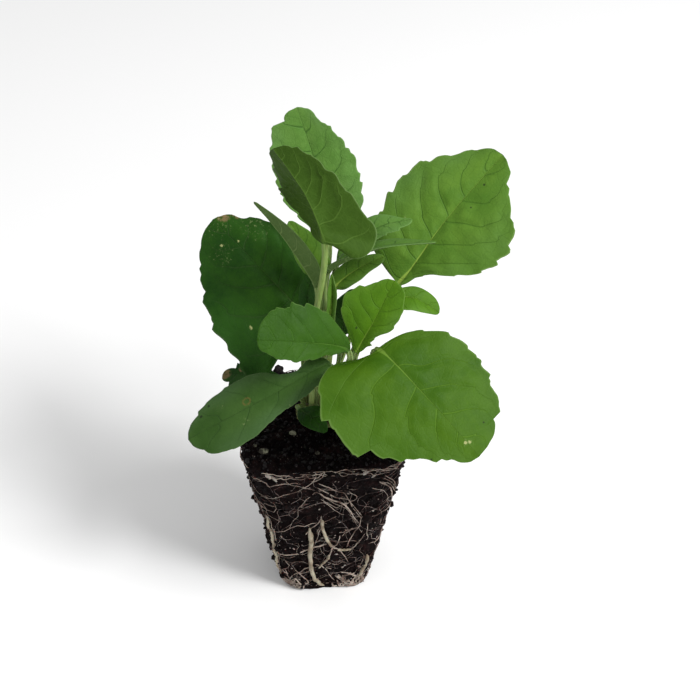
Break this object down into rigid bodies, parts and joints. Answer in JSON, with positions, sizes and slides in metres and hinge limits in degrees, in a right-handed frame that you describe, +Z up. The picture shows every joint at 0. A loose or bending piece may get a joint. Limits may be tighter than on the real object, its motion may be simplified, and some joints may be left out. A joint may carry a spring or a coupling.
{
  "type": "valerian plug plant",
  "caption": "Young valerian with long-stalked, toothed oval leaves on a short crown, standing on a tapered square block of growing mix bound by its own roots, with no pot.",
  "frame": {"origin": "centre of the block's flat foot", "axes": "+Z up along the block and the plant; +X towards the tall leaf that leans highest to one side; +Y away from the side with the broad drooping leaf"},
  "size_m": [0.1061, 0.0802, 0.1725],
  "materials": {
    "leaf_mid": "soft satin leaf",
    "leaf_dark": "soft satin leaf",
    "leaf_bright": "soft satin leaf",
    "crown": "fibrous stalk bases",
    "growing_mix": "moist crumbly peat mix",
    "root": "pale fibrous root",
    "grit": "dull rough grain"
  },
  "bodies": {
    "root": {"root_ball": "growing_mix", "crown": "crown", "leaf_back_tall": "leaf_mid", "leaf_front_upright": "leaf_dark", "leaf_right_high": "leaf_bright", "leaf_left_broad": "leaf_dark", "leaf_left_narrow": "leaf_mid", "leaf_left_young": "leaf_bright", "leaf_right_toothed": "leaf_mid", "leaf_right_narrow": "leaf_mid", "leaf_right_young": "leaf_bright", "leaf_middle_left": "leaf_mid", "leaf_middle_front": "leaf_mid", "leaf_right_oval": "leaf_bright", "leaf_front_broad": "leaf_bright", "leaf_front_long": "leaf_mid", "leaf_rear_ragged": "leaf_dark", "leaf_centre_left": "leaf_dark", "leaf_centre_folded": "leaf_bright", "leaf_centre_right": "leaf_dark", "leaf_low_small": "leaf_dark", "root_front_corner": "root", "root_front_centre": "root", "root_front_fork": "root", "root_fork_left": "root", "root_fork_right": "root", "root_front_slant": "root", "root_slant_branch": "root", "root_right_low": "root", "root_right_high": "root", "root_right_long": "root", "root_back_right": "root", "root_back_left": "root", "root_left_long": "root", "grit_front_left": "grit", "grit_left_edge": "grit", "grit_left_small": "grit", "grit_front_middle": "grit", "grit_front_right": "grit", "grit_back_left": "grit", "grit_back_right": "grit"}
  },
  "joints": []
}
